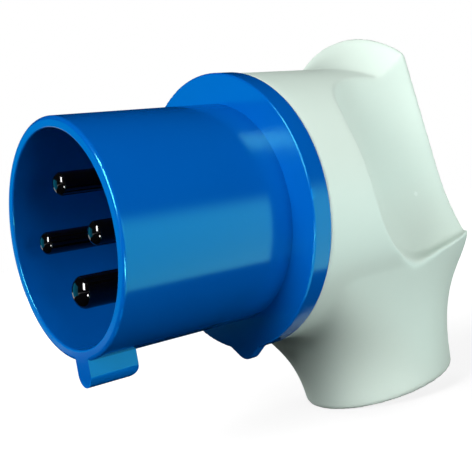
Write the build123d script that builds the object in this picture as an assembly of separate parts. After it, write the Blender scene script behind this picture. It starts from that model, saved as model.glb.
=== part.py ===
"""Angled industrial plug: four round pins in a blue sleeve, and a pale elbow housing with a pull grip.

All sizes are in millimetres. The origin is the centre of the sleeve's mouth. +X runs back along the
barrel axis, from the mouth to the grip, and +Z points away from the key, so the cable outlet leaves
towards -Z. The plug is a mirror image about the plane y = 0.

The grip frame belongs to the outlet, which leans back by LEAN: u runs backwards, square to the outlet
axis, and height runs up the outlet axis from the centre of its rim.
"""

import os
from math import cos, hypot, pi, radians, sin, sqrt, tan

from build123d import *

# Sleeve, with its flange, key rib and marker lobe
SLEEVE_R = 25.3
SLEEVE_WALL = 2.4
SLEEVE_LENGTH = 41.0
MOUTH_EDGE_R = 0.8
MOUTH_INNER_EDGE_R = 0.4
FLANGE_R = 32.2
FLANGE_THICKNESS = 4.84
FLANGE_EDGE_R = 0.4
KEY_WIDTH = 5.6
KEY_REACH = 30.8
KEY_LENGTH = 11.3
KEY_HEEL_R = 2.0
LOBE_REACH = 3.4
LOBE_HALF_WIDTH = 5.4
LOBE_THICKNESS = 2.7
LOBE_NOSE_R = 4.0
LOBE_ROOT_R = 1.0
LOBE_BACK_EDGE_R = 0.7
SPIGOT_LENGTH = 6.0
SPIGOT_RIBS = 12
SPIGOT_RIB_WIDTH = 2.0
SHOULDER_WIDTH = 1.5
SHOULDER_LENGTH = 2.0
SEAL_WIDTH = 1.8
SEAL_DEPTH = 1.3

# Contacts, on one pitch circle, with the earth nearest the key
PITCH_R = 11.4
PHASE_PIN_R = 2.5
EARTH_PIN_R = 3.5
PIN_TIP_RECESS = 1.0
PIN_DOME_SHARE = 0.65
PIN_NECK_DEPTH = 0.25
TERMINAL_WALL = 2.2
TERMINAL_LENGTH = 15.0
PHASE_WIRE_BORE_R = 2.3
EARTH_WIRE_BORE_R = 2.8
WIRE_BORE_DEPTH = 12.0
TERMINAL_SCREW_R = 1.9
TERMINAL_HEAD_R = 2.6
TERMINAL_HEAD_HEIGHT = 2.2
TERMINAL_HEAD_LIFT = 0.8
TERMINAL_SCREW_INSET = 4.6
LEAF_THICKNESS = 0.7
LEAF_WIDTH = 3.0
LEAF_LENGTH = 7.0

# Contact carrier, and the plate that closes its back
CARRIER_FLOOR = 6.0
CARRIER_KEY_WIDTH = 4.0
CARRIER_KEY_HEIGHT = 1.0
BACKPLATE_R = 20.6
BACKPLATE_THICKNESS = 2.5
WIRE_HOLE_MARGIN = 0.8
BACKPLATE_SCREW_R = 1.6
BACKPLATE_HEAD_R = 3.0
BACKPLATE_HEAD_HEIGHT = 2.2
BACKPLATE_SCREW_DEPTH = 11.0

# Long screws that pull the housing against the flange, and their brass inserts
ASSEMBLY_PITCH_R = 17.8
ASSEMBLY_SCREW_R = 1.9
ASSEMBLY_HEAD_R = 3.1
ASSEMBLY_HEAD_HEIGHT = 2.6
ASSEMBLY_HEAD_RECESS = 0.4
INSERT_WALL = 0.8
INSERT_LENGTH = 8.0
BOSS_WALL = 1.4
BOSS_LENGTH = 11.0
SCREW_SLOT_WIDTH = 0.8
SCREW_SLOT_DEPTH = 1.2

# Housing: barrel, grip and outlet
HOUSING_STEP = 0.25
HOUSING_WALL = 3.2
CHAMBER_STRAIGHT = 9.5
CHAMBER_THROAT_R = 21.6
LEAN = 9.5
RIM_X = 82.15
RIM_Z = -49.63
RIM_R = 19.35
RIM_EDGE_R = 0.8
BARREL_EDGE_R = 0.6
BACK_OFFSET = 21.3
BACK_EDGE_R = 0.7
CREASE_DEPTH = 19.2
CREASE_BLEND_R = 8.0
SHOULDER_HALF_LENGTH = 34.0
FRONT_FLARE_POWER = 2.4
FRONT_SQUARENESS = 6.0
REAR_HALF_LENGTH = 30.6
REAR_FLARE_POWER = 2.0
REAR_SQUARENESS = 1.0
WIDTH_FLARE_POWER = 2.9
SPOUT_TOP_SHARE = 1.2
SPOUT_SECTIONS = 9
SECTION_POINTS = 40
EAR_R = 30.95
EAR_HEIGHT = 56.85
EAR_FOOT_OFFSET = 7.8
EAR_FOOT_R = 25.0
EAR_COVE_SAG = 1.3
TROUGH_WAIST = 18.2
TROUGH_WAIST_OFFSET = 4.5
TROUGH_WAIST_FLARE = 4.9
TROUGH_FRONT_R = 19.3
TROUGH_BACK_R = 46.0
TROUGH_BACK_FLARE = 2.0
TROUGH_BEND_TOP = 49.5
TROUGH_BEND_R = 19.3
TROUGH_BEND_ANGLE = 73.5
TROUGH_SECTIONS = 7
TROUGH_EDGE_R = 0.5
LEDGE_START = 5.0
LEDGE_RISE = 0.4
LEDGE_TILT = 3.3

# Cable gland in the outlet
NUT_BORE_R = 15.2
NUT_LENGTH = 11.0
NUT_RECESS = 1.6
NUT_WALL = 1.9
NUT_FACE_THICKNESS = 3.0
NUT_SLOTS = 6
NUT_SLOT_WIDTH = 3.4
NUT_SLOT_DEPTH = 1.8
CABLE_BORE_R = 7.0
CABLE_CLEARANCE = 1.0
GROMMET_WALL = 5.4
GROMMET_HEIGHT = 9.0
GROMMET_GROOVES = 3
GROMMET_GROOVE_R = 0.7
WASHER_THICKNESS = 1.2
CLAW_HEIGHT = 6.0
CLAW_WALL = 2.0
CLAW_TAPER = 2.2
CLAW_FINGERS = 8
CLAW_SLIT = 1.2
SEAT_THICKNESS = 3.0

# Fits: between moulded parts, and between metal parts
FIT = 0.3
CLOSE_FIT = 0.1

# Places along the barrel axis
FLANGE_BACK = SLEEVE_LENGTH + FLANGE_THICKNESS
SPIGOT_END = FLANGE_BACK + SPIGOT_LENGTH
CARRIER_FRONT = SLEEVE_LENGTH - SHOULDER_LENGTH
TERMINAL_FRONT = CARRIER_FRONT + CARRIER_FLOOR
CARRIER_BACK = TERMINAL_FRONT + TERMINAL_LENGTH
PLATE_BACK = CARRIER_BACK + BACKPLATE_THICKNESS
TERMINAL_SCREW_X = CARRIER_BACK - TERMINAL_SCREW_INSET
FAR_BACK = 2 * RIM_X

# Radii and widths that follow from the ones above
HOUSING_R = FLANGE_R - HOUSING_STEP
SLEEVE_BORE_R = SLEEVE_R - SLEEVE_WALL
CARRIER_R = SLEEVE_BORE_R - FIT
CHAMBER_R = HOUSING_R - HOUSING_WALL
SEAL_R = CHAMBER_R + (HOUSING_WALL - SEAL_WIDTH) / 2
INSERT_R = ASSEMBLY_SCREW_R + CLOSE_FIT + INSERT_WALL
BOSS_R = INSERT_R + CLOSE_FIT + BOSS_WALL
CREASE_HALF_WIDTH = sqrt(HOUSING_R**2 - CREASE_DEPTH**2)
GRIP_HALF = TROUGH_WAIST - HOUSING_WALL
BACK_INSIDE = BACK_OFFSET - HOUSING_WALL
SPOUT_RISE = -RIM_Z - CREASE_DEPTH
TROUGH_FLOOR = TROUGH_BEND_TOP - TROUGH_BEND_R * sin(radians(TROUGH_BEND_ANGLE))
LEAN_ANGLE = radians(LEAN)

# Heights up the outlet axis
NUT_TOP = NUT_RECESS + NUT_LENGTH
GROMMET_BASE = NUT_TOP + WASHER_THICKNESS
SEAT_BASE = GROMMET_BASE + GROMMET_HEIGHT
SEAT_TOP = SEAT_BASE + SEAT_THICKNESS
GROMMET_R = CABLE_BORE_R + GROMMET_WALL
NUT_R = NUT_BORE_R - FIT

# Name, pin radius, wire bore radius and clock angle of each contact, from +Y towards +Z
CONTACTS = (
    ("l1", PHASE_PIN_R, PHASE_WIRE_BORE_R, 180.0),
    ("l2", PHASE_PIN_R, PHASE_WIRE_BORE_R, 90.0),
    ("l3", PHASE_PIN_R, PHASE_WIRE_BORE_R, 0.0),
    ("earth", EARTH_PIN_R, EARTH_WIRE_BORE_R, 270.0),
)
DIAGONALS = (45.0, 135.0, 225.0, 315.0)


def around(radius, angle):
    """Point (y, z) on a circle about the barrel axis."""
    return radius * cos(radians(angle)), radius * sin(radians(angle))


def barrel_plane(x, angle=0.0, radius=0.0):
    """Plane square to the barrel axis, centred at a clock position, its local x axis pointing outwards."""
    y, z = around(radius, angle)
    outward = around(1.0, angle)
    return Plane(origin=(x, y, z), x_dir=(0, *outward), z_dir=(1, 0, 0))


def barrel_section(x):
    """Plane square to the barrel axis, its local x and y axes along +Y and +Z."""
    return Plane.YZ.offset(x)


def radial_plane(x, angle, radius):
    """Plane facing outwards at a clock position, its local x axis along the barrel."""
    y, z = around(radius, angle)
    return Plane(origin=(x, y, z), x_dir=(1, 0, 0), z_dir=(0, *around(1.0, angle)))


def grip_plane(height):
    """Plane square to the outlet axis at a height above the rim, its local x axis pointing back."""
    return Plane(
        origin=(RIM_X - height * sin(LEAN_ANGLE), 0, RIM_Z + height * cos(LEAN_ANGLE)),
        x_dir=(cos(LEAN_ANGLE), 0, sin(LEAN_ANGLE)),
        z_dir=(-sin(LEAN_ANGLE), 0, cos(LEAN_ANGLE)),
    )


def rod(x0, x1, radius, angle=0.0, pitch=0.0):
    """Cylinder parallel to the barrel axis."""
    return extrude(barrel_plane(x0, angle, pitch) * Circle(radius), amount=x1 - x0)


def ring(x0, x1, outer, inner, angle=0.0, pitch=0.0):
    """Tube parallel to the barrel axis."""
    return extrude(barrel_plane(x0, angle, pitch) * (Circle(outer) - Circle(inner)), amount=x1 - x0)


def cone(x0, x1, radius0, radius1):
    """Cone about the barrel axis, between two radii."""
    return loft([barrel_plane(x0) * Circle(radius0), barrel_plane(x1) * Circle(radius1)])


def stem(angle, low, high, radius):
    """Cylinder pointing outwards over a terminal, between two distances from the barrel axis."""
    return extrude(radial_plane(TERMINAL_SCREW_X, angle, low) * Circle(radius), amount=high - low)


def gland_ring(low, high, outer, inner):
    """Ring about the outlet axis, between two heights above the rim."""
    return extrude(grip_plane(low) * (Circle(outer) - Circle(inner)), amount=high - low)


def gland_rod(low, high, radius):
    """Cylinder about the outlet axis, between two heights above the rim."""
    return extrude(grip_plane(low) * Circle(radius), amount=high - low)


def cross_slot(plane, head_r):
    """Cross recess cut into a screw head below the given plane."""
    arm = Rectangle(head_r * 1.3, SCREW_SLOT_WIDTH)
    return extrude(plane * (arm + Rot(0, 0, 90) * arm), amount=-SCREW_SLOT_DEPTH)


def make_key():
    """Key rib under the mouth, with a round nose and a round heel."""
    nose_z = -KEY_REACH + KEY_WIDTH / 2
    root_z = -SLEEVE_R + SLEEVE_WALL / 2
    blade = barrel_section(0) * Pos(0, (nose_z + root_z) / 2) * Rectangle(KEY_WIDTH, root_z - nose_z)
    key = extrude(blade, amount=KEY_LENGTH) + rod(0, KEY_LENGTH, KEY_WIDTH / 2, 270.0, -nose_z)
    side = Rectangle(KEY_LENGTH, KEY_REACH, align=(Align.MIN, Align.MAX))
    heel = side.vertices().group_by(Axis.Y)[0].sort_by(Axis.X)[-1]
    return key & extrude(Plane.XZ * fillet(heel, KEY_HEEL_R), amount=KEY_WIDTH, both=True)


def make_flange():
    """Round flange with the marker lobe under it, in line with the key."""
    foot = -sqrt(FLANGE_R**2 - LOBE_HALF_WIDTH**2)
    apex = (0, -FLANGE_R - LOBE_REACH)
    outline = Polyline((-LOBE_HALF_WIDTH, foot), (0, 0), (LOBE_HALF_WIDTH, foot), apex, close=True)
    section = make_face(outline)
    section = fillet(section.vertices().sort_by(Axis.Y)[0], LOBE_NOSE_R)
    lobe = extrude(barrel_section(SLEEVE_LENGTH) * section, amount=LOBE_THICKNESS)
    lobe = fillet(lobe.faces().sort_by(Axis.X)[-1].edges(), LOBE_BACK_EDGE_R)
    flange = rod(SLEEVE_LENGTH, FLANGE_BACK, FLANGE_R) + lobe
    roots = flange.edges().filter_by(Axis.X).group_by(Axis.Z)[1]
    flange = fillet(roots, LOBE_ROOT_R)
    ends = flange.faces().filter_by(Axis.X).sort_by(Axis.X)
    return fillet(ends[0].edges() + ends[-1].edges(), FLANGE_EDGE_R)


def make_front_sleeve():
    """Sleeve, flange, key, lobe and the ribbed spigot that enters the housing: one moulding."""
    tube = ring(0, SPIGOT_END, SLEEVE_R, SLEEVE_BORE_R)
    outer_edge = tube.edges().filter_by(GeomType.CIRCLE).group_by(Axis.X)[0].sort_by(SortBy.RADIUS)[-1]
    tube = fillet(outer_edge, MOUTH_EDGE_R)
    inner_edge = tube.edges().filter_by(GeomType.CIRCLE).group_by(Axis.X)[0].sort_by(SortBy.RADIUS)[0]
    tube = fillet(inner_edge, MOUTH_INNER_EDGE_R)
    body = tube + make_flange() - rod(SLEEVE_LENGTH, FLANGE_BACK, SLEEVE_BORE_R) + make_key()
    body += ring(CARRIER_FRONT - SHOULDER_LENGTH, CARRIER_FRONT, SLEEVE_R, SLEEVE_BORE_R - SHOULDER_WIDTH)
    rib_low = SLEEVE_BORE_R + SLEEVE_WALL / 2
    rib_high = CHAMBER_R - FIT
    rib_section = barrel_plane(FLANGE_BACK, 0, (rib_low + rib_high) / 2)
    rib = extrude(rib_section * Rectangle(rib_high - rib_low, SPIGOT_RIB_WIDTH), amount=SPIGOT_LENGTH)
    for i in range(SPIGOT_RIBS):
        body += rib.rotate(Axis.X, (i + 0.5) * 360 / SPIGOT_RIBS)
    body -= rod(CARRIER_FRONT, SPIGOT_END, SLEEVE_BORE_R)
    body -= carrier_key(CARRIER_KEY_WIDTH + FIT, CARRIER_KEY_HEIGHT + FIT, SPIGOT_END)
    return body - ring(FLANGE_BACK - SEAL_DEPTH, FLANGE_BACK, SEAL_R + SEAL_WIDTH, SEAL_R)


def carrier_key(width, height, x1):
    """Rib on top of the carrier that fits a slot in the sleeve and stops it from turning."""
    low = CARRIER_R - height
    section = barrel_plane(CARRIER_FRONT, 90, (low + CARRIER_R + height) / 2)
    return extrude(section * Rectangle(2 * height, width), amount=x1 - CARRIER_FRONT)


def make_flange_seal():
    """Flat rubber ring in the back of the flange, pressed by the housing."""
    return ring(
        FLANGE_BACK - SEAL_DEPTH, FLANGE_BACK, SEAL_R + SEAL_WIDTH - CLOSE_FIT, SEAL_R + CLOSE_FIT
    )


def terminal_r(wire_bore_r):
    """Outer radius of a contact's terminal barrel."""
    return wire_bore_r + TERMINAL_WALL


def make_contact_carrier():
    """Insulating block that holds the four contacts, with a pocket and a screw well for each."""
    body = rod(CARRIER_FRONT, CARRIER_BACK, CARRIER_R)
    body += carrier_key(CARRIER_KEY_WIDTH, CARRIER_KEY_HEIGHT, CARRIER_BACK)
    for _, pin_r, wire_bore_r, angle in CONTACTS:
        pocket_r = terminal_r(wire_bore_r) + FIT
        body -= rod(CARRIER_FRONT, TERMINAL_FRONT, pin_r + FIT, angle, PITCH_R)
        body -= rod(TERMINAL_FRONT, CARRIER_BACK, pocket_r, angle, PITCH_R)
        body -= stem(angle, PITCH_R, 2 * CARRIER_R, TERMINAL_HEAD_R + FIT)
    head_back = CARRIER_FRONT + ASSEMBLY_HEAD_RECESS + ASSEMBLY_HEAD_HEIGHT
    for angle in DIAGONALS:
        body -= rod(CARRIER_FRONT, CARRIER_BACK, ASSEMBLY_SCREW_R + FIT, angle, ASSEMBLY_PITCH_R)
        body -= rod(CARRIER_FRONT, head_back, ASSEMBLY_HEAD_R + FIT / 2, angle, ASSEMBLY_PITCH_R)
    screw_front = PLATE_BACK - BACKPLATE_SCREW_DEPTH - FIT
    return body - rod(screw_front, CARRIER_BACK, BACKPLATE_SCREW_R + CLOSE_FIT)


def make_carrier_backplate():
    """Round plate that traps the contacts in the carrier and guides the wires."""
    plate = rod(CARRIER_BACK, PLATE_BACK, BACKPLATE_R)
    for _, _, wire_bore_r, angle in CONTACTS:
        plate -= rod(CARRIER_BACK, PLATE_BACK, wire_bore_r + WIRE_HOLE_MARGIN, angle, PITCH_R)
    for angle in DIAGONALS:
        plate -= rod(CARRIER_BACK, PLATE_BACK, ASSEMBLY_SCREW_R + FIT, angle, ASSEMBLY_PITCH_R)
    return plate - rod(CARRIER_BACK, PLATE_BACK, BACKPLATE_SCREW_R + FIT)


def make_backplate_screw():
    """Central screw that holds the back plate to the carrier."""
    head_top = PLATE_BACK + BACKPLATE_HEAD_HEIGHT
    screw = rod(PLATE_BACK - BACKPLATE_SCREW_DEPTH, PLATE_BACK, BACKPLATE_SCREW_R)
    screw += rod(PLATE_BACK, head_top, BACKPLATE_HEAD_R)
    return screw - cross_slot(barrel_plane(head_top), BACKPLATE_HEAD_R)


def make_contact(pin_r, wire_bore_r, angle):
    """Turned contact: a domed pin with a neck at its root, and a barrel with a wire bore and a screw hole."""
    dome = pin_r * PIN_DOME_SHARE
    tip = PIN_TIP_RECESS
    barrel_r = terminal_r(wire_bore_r)
    side = sqrt(0.5)
    neck_r = pin_r - PIN_NECK_DEPTH
    neck_front = CARRIER_FRONT - FIT
    nose = Spline(
        (tip, 0), (tip + dome * (1 - side), pin_r * side), (tip + dome, pin_r), tangents=((0, 1), (1, 0))
    )
    outline = nose + Polyline(
        (tip, 0),
        (CARRIER_BACK, 0),
        (CARRIER_BACK, barrel_r),
        (TERMINAL_FRONT, barrel_r),
        (TERMINAL_FRONT, neck_r),
        (neck_front, neck_r),
        (neck_front, pin_r),
        (tip + dome, pin_r),
    )
    contact = revolve(make_face(outline), Axis.X)
    contact = Pos(0, *around(PITCH_R, angle)) * contact
    contact -= rod(CARRIER_BACK - WIRE_BORE_DEPTH, CARRIER_BACK, wire_bore_r, angle, PITCH_R)
    return contact - stem(angle, PITCH_R, PITCH_R + 2 * barrel_r, TERMINAL_SCREW_R + CLOSE_FIT)


def leaf_top(wire_bore_r):
    """Height of a pressure leaf's top above the contact's axis, so that its corners clear the bore."""
    return sqrt((wire_bore_r - CLOSE_FIT) ** 2 - (LEAF_WIDTH / 2) ** 2)


def make_clamp_leaf(wire_bore_r, angle):
    """Pressure plate between the terminal screw and the wire."""
    top = PITCH_R + leaf_top(wire_bore_r)
    plate = radial_plane(TERMINAL_SCREW_X, angle, top) * Rectangle(LEAF_LENGTH, LEAF_WIDTH)
    return extrude(plate, amount=-LEAF_THICKNESS)


def make_terminal_screw(wire_bore_r, angle):
    """Clamping screw of one terminal, its tip on the pressure leaf."""
    head_low = PITCH_R + terminal_r(wire_bore_r) + TERMINAL_HEAD_LIFT
    head_top = head_low + TERMINAL_HEAD_HEIGHT
    screw = stem(angle, PITCH_R + leaf_top(wire_bore_r), head_low, TERMINAL_SCREW_R)
    screw += stem(angle, head_low, head_top, TERMINAL_HEAD_R)
    return screw - cross_slot(radial_plane(TERMINAL_SCREW_X, angle, head_top), TERMINAL_HEAD_R)


def make_assembly_screw(angle):
    """Long screw from inside the sleeve, through the carrier, into the housing's insert."""
    head_front = CARRIER_FRONT + ASSEMBLY_HEAD_RECESS
    head_back = head_front + ASSEMBLY_HEAD_HEIGHT
    tip = PLATE_BACK + INSERT_LENGTH
    screw = rod(head_front, head_back, ASSEMBLY_HEAD_R, angle, ASSEMBLY_PITCH_R)
    screw += rod(head_back, tip, ASSEMBLY_SCREW_R, angle, ASSEMBLY_PITCH_R)
    slot_plane = barrel_plane(head_front + SCREW_SLOT_DEPTH, angle, ASSEMBLY_PITCH_R)
    return screw - cross_slot(slot_plane, ASSEMBLY_HEAD_R)


def make_insert(angle):
    """Threaded brass tube in a boss of the housing."""
    bore_r = ASSEMBLY_SCREW_R + CLOSE_FIT
    return ring(PLATE_BACK, PLATE_BACK + INSERT_LENGTH, INSERT_R, bore_r, angle, ASSEMBLY_PITCH_R)


def spout_section(share, inset):
    """Outline of the outlet at a share of the way up, from its rim at 0 to the crease at 1.

    The half towards the sleeve and the half towards the grip each have their own length and squareness.
    """
    tilt = LEAN_ANGLE * (1 - share)
    rise = SPOUT_RISE * share
    plane = Plane(
        origin=(RIM_X - rise * tan(LEAN_ANGLE), 0, RIM_Z + rise),
        x_dir=(cos(tilt), 0, sin(tilt)),
        z_dir=(-sin(tilt), 0, cos(tilt)),
    )
    front = RIM_R + (SHOULDER_HALF_LENGTH - RIM_R) * share**FRONT_FLARE_POWER - inset
    rear = RIM_R + (REAR_HALF_LENGTH - RIM_R) * min(share, 1) ** REAR_FLARE_POWER - inset
    half_width = RIM_R + (CREASE_HALF_WIDTH - RIM_R) * share**WIDTH_FLARE_POWER - inset
    if share > 1:
        inside_barrel = sqrt(HOUSING_R**2 - (RIM_Z + rise) ** 2) - FIT
        half_width = min(half_width, inside_barrel)
    points = []
    for i in range(SECTION_POINTS):
        turn = 2 * pi * i / SECTION_POINTS
        if cos(turn) >= 0:
            length = rear
            power = 2 / (2 + REAR_SQUARENESS * share)
        else:
            length = -front
            power = 2 / (2 + FRONT_SQUARENESS * share**3)
        along = length * abs(cos(turn)) ** power
        across = half_width * abs(sin(turn)) ** power * (1 if sin(turn) >= 0 else -1)
        points.append(plane.from_local_coords((along, across, 0)))
    return make_face(Spline(*points, periodic=True))


def make_spout(inset=0.0):
    """Outlet body that swells from the round rim to a wide shoulder, and ends inside the barrel."""
    step = SPOUT_TOP_SHARE / (SPOUT_SECTIONS - 1)
    return loft([spout_section(i * step, inset) for i in range(SPOUT_SECTIONS)])


def behind(offset):
    """Everything behind a plane parallel to the outlet axis, at an offset from it."""
    size = 4 * HOUSING_R
    plane = grip_plane(0)
    return extrude(plane * Pos(offset + size / 2, 0) * Rectangle(size, size), amount=size, both=True)


def make_ear(inset=0.0):
    """Flared disc behind the barrel: its upper edge is the lip that the hand pulls on."""
    plane = grip_plane(EAR_HEIGHT)
    foot = (EAR_FOOT_OFFSET + inset, EAR_FOOT_R - inset)
    lip = (BACK_OFFSET, EAR_R - inset)
    middle = ((foot[0] + lip[0]) / 2, (foot[1] + lip[1]) / 2 - EAR_COVE_SAG)
    outline = ThreePointArc(foot, middle, lip) + Polyline(lip, (lip[0], 0), (foot[0], 0), foot)
    profile = make_face(outline)
    section = Plane(origin=plane.origin, x_dir=plane.x_dir, z_dir=-Vector(0, 1, 0))
    return revolve(section * profile, Axis(plane.origin, plane.x_dir))


def ledge_plane(height, share=1.0):
    """Plane that leans up towards the back, about the grip's waist, by a share of the ledges' tilt."""
    pivot = grip_plane(height) * Pos(TROUGH_WAIST_OFFSET, 0)
    return pivot * Rot(0, -LEDGE_TILT * share, 0) * Pos(-TROUGH_WAIST_OFFSET, 0)


def below_ledge():
    """Everything under the ledges and behind the waist, where the shoulder takes over from the barrel."""
    size = 4 * HOUSING_R
    corner = Rectangle(size, size, align=(Align.MIN, Align.CENTER))
    return extrude(ledge_plane(TROUGH_FLOOR + LEDGE_RISE) * Pos(LEDGE_START, 0) * corner, amount=-size)


def trough_section(angle):
    """Outline of a finger trough, square to the outlet axis, where its bend has turned by an angle."""
    turn = radians(angle)
    share = sin(turn) ** 2
    waist = TROUGH_WAIST + TROUGH_WAIST_FLARE * share
    front_r = TROUGH_FRONT_R * cos(turn)
    lip_u = BACK_OFFSET + 2
    drop = TROUGH_BACK_R - sqrt(TROUGH_BACK_R**2 - (lip_u - TROUGH_WAIST_OFFSET) ** 2)
    lip = (lip_u, TROUGH_WAIST + drop + TROUGH_BACK_FLARE * share)
    front = CenterArc((TROUGH_WAIST_OFFSET, waist + front_r), front_r, 180, 90)
    back = TangentArc((TROUGH_WAIST_OFFSET, waist), lip, tangent=(1, 0))
    outside = 2 * HOUSING_R
    rest = Polyline(lip, (lip_u, outside), (TROUGH_WAIST_OFFSET - front_r, outside), front @ 0)
    height = TROUGH_BEND_TOP - TROUGH_BEND_R * sin(turn)
    return ledge_plane(height, share) * make_face(front + back + rest)


def make_trough(side):
    """Space for the fingers beside the grip: a tall hollow that bends outwards to a ledge at its foot."""
    step = TROUGH_BEND_ANGLE / (TROUGH_SECTIONS - 1)
    bend = loft([trough_section(TROUGH_BEND_ANGLE - i * step) for i in range(TROUGH_SECTIONS)])
    cutter = bend + extrude(trough_section(0), amount=2 * HOUSING_R)
    return cutter if side > 0 else mirror(cutter, Plane.XZ)


def make_cavity():
    """Wiring space inside the housing: a round front chamber, the hollow grip and the inner spout."""
    straight_end = FLANGE_BACK + CHAMBER_STRAIGHT
    cavity = rod(FLANGE_BACK, straight_end, CHAMBER_R)
    cavity += cone(straight_end, PLATE_BACK, CHAMBER_R, CHAMBER_THROAT_R)
    grip = extrude(
        grip_plane(SEAT_TOP) * Pos(BACK_INSIDE, 0) * Rectangle(
            2 * HOUSING_R, 2 * GRIP_HALF, align=(Align.MAX, Align.CENTER)
        ),
        amount=4 * HOUSING_R,
    )
    cavity += grip & rod(PLATE_BACK, FAR_BACK, CHAMBER_R)
    inner_top = TROUGH_FLOOR - HOUSING_WALL
    slab = gland_rod(SEAT_TOP, inner_top, 2 * HOUSING_R)
    spout = make_spout(HOUSING_WALL) & slab & rod(FLANGE_BACK + HOUSING_WALL, FAR_BACK, 2 * HOUSING_R)
    return cavity + (spout - behind(BACK_INSIDE))


def make_barrel():
    """Round front of the housing, cut away where the shoulder of the outlet takes over."""
    barrel = rod(FLANGE_BACK, FAR_BACK, HOUSING_R)
    front_edge = barrel.edges().filter_by(GeomType.CIRCLE).group_by(Axis.X)[0]
    return fillet(front_edge, BARREL_EDGE_R) - below_ledge()


def along_barrel(edge):
    """True for a free-form edge that runs along the barrel's round surface."""
    places = (edge @ 0, edge @ 0.5, edge @ 1)
    return edge.geom_type == GeomType.BSPLINE and all(
        abs(hypot(place.Y, place.Z) - HOUSING_R) < CLOSE_FIT for place in places
    )


def join_spout(barrel):
    """Barrel and outlet as one body, blended along the crease under the barrel."""
    spout = make_spout()
    rim = spout.faces().sort_by(Axis.Z)[0].edges()
    spout = fillet(rim, RIM_EDGE_R) & rod(FLANGE_BACK, FAR_BACK, 3 * HOUSING_R)
    body = barrel + spout - behind(BACK_OFFSET)
    return fillet(body.edges().filter_by(along_barrel), CREASE_BLEND_R)


def round_back_edges(body):
    """Housing with the outline of its back rounded."""
    outlet = grip_plane(0)
    flats = body.faces().filter_by(GeomType.PLANE)
    back = flats.sort_by(Axis(outlet.origin, outlet.x_dir))[-1]
    return fillet(back.outer_wire().edges(), BACK_EDGE_R)


def round_trough_edges(body):
    """Housing with the edges where the troughs run out through the barrel rounded."""
    beside_grip = []
    for edge in body.edges().filter_by(along_barrel):
        if edge.length > TROUGH_FRONT_R and abs((edge @ 0.5).Y) > TROUGH_WAIST:
            beside_grip.append(edge)
    return fillet(beside_grip, TROUGH_EDGE_R)


def make_rear_housing():
    """Elbow moulding: barrel, ear, finger troughs and the outlet with its gland bore."""
    body = join_spout(make_barrel())
    body += make_ear() - behind(BACK_OFFSET)
    for side in (1, -1):
        body -= make_trough(side)
    body = round_trough_edges(round_back_edges(body))
    body -= make_cavity()
    for angle in DIAGONALS:
        body += rod(PLATE_BACK, PLATE_BACK + BOSS_LENGTH, BOSS_R, angle, ASSEMBLY_PITCH_R)
        hole_end = PLATE_BACK + INSERT_LENGTH + CLOSE_FIT
        body -= rod(PLATE_BACK, hole_end, INSERT_R + CLOSE_FIT, angle, ASSEMBLY_PITCH_R)
    body -= gland_rod(0, GROMMET_BASE, NUT_BORE_R)
    body -= gland_rod(GROMMET_BASE, SEAT_BASE, GROMMET_R + FIT)
    return body - gland_rod(SEAT_BASE, SEAT_TOP, CABLE_BORE_R + CABLE_CLEARANCE)


def make_gland_grommet():
    """Rubber cable seal with round grooves along its bore."""
    body = gland_ring(GROMMET_BASE, SEAT_BASE, GROMMET_R, CABLE_BORE_R)
    step = GROMMET_HEIGHT / (GROMMET_GROOVES + 1)
    for i in range(GROMMET_GROOVES):
        plane = grip_plane(GROMMET_BASE + (i + 1) * step)
        body -= plane * Torus(CABLE_BORE_R, GROMMET_GROOVE_R)
    return body


def make_gland_washer():
    """Slip washer between the claw and the grommet."""
    inner = CABLE_BORE_R + CABLE_CLEARANCE
    return gland_ring(NUT_TOP, GROMMET_BASE, NUT_R, inner)


def gland_cone(low, high, radius_low, radius_high):
    """Cone about the outlet axis, between two heights and their radii."""
    return loft([grip_plane(low) * Circle(radius_low), grip_plane(high) * Circle(radius_high)])


def make_gland_claw():
    """Tapered ring with fingers that the nut squeezes on to the cable."""
    low = NUT_TOP - CLAW_HEIGHT
    top_r = NUT_R - NUT_WALL - FIT
    inner = CABLE_BORE_R + CABLE_CLEARANCE
    body = gland_cone(low, NUT_TOP, top_r - CLAW_TAPER, top_r) - gland_rod(low, NUT_TOP, inner)
    slit_plane = grip_plane(low)
    for i in range(CLAW_FINGERS):
        turned = slit_plane * Rot(0, 0, i * 360 / CLAW_FINGERS)
        slit = turned * Pos(top_r / 2, 0) * Rectangle(top_r, CLAW_SLIT)
        body -= extrude(slit, amount=CLAW_HEIGHT - CLAW_WALL)
    return body


def make_gland_nut():
    """Compression nut inside the outlet, turned by the slots in its face."""
    body = gland_rod(NUT_RECESS, NUT_TOP, NUT_R)
    claw_low = NUT_TOP - CLAW_HEIGHT
    cup_r = NUT_R - NUT_WALL
    body -= gland_cone(claw_low, NUT_TOP, cup_r - CLAW_TAPER, cup_r)
    body -= gland_rod(NUT_RECESS + NUT_FACE_THICKNESS, claw_low, cup_r - CLAW_TAPER)
    body -= gland_rod(NUT_RECESS, NUT_RECESS + NUT_FACE_THICKNESS, CABLE_BORE_R + CABLE_CLEARANCE)
    for i in range(NUT_SLOTS):
        turned = grip_plane(NUT_RECESS) * Rot(0, 0, i * 360 / NUT_SLOTS)
        slot = turned * Pos(NUT_R, 0) * Rectangle(2 * NUT_WALL, NUT_SLOT_WIDTH)
        body -= extrude(slot, amount=NUT_SLOT_DEPTH)
    return body


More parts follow.
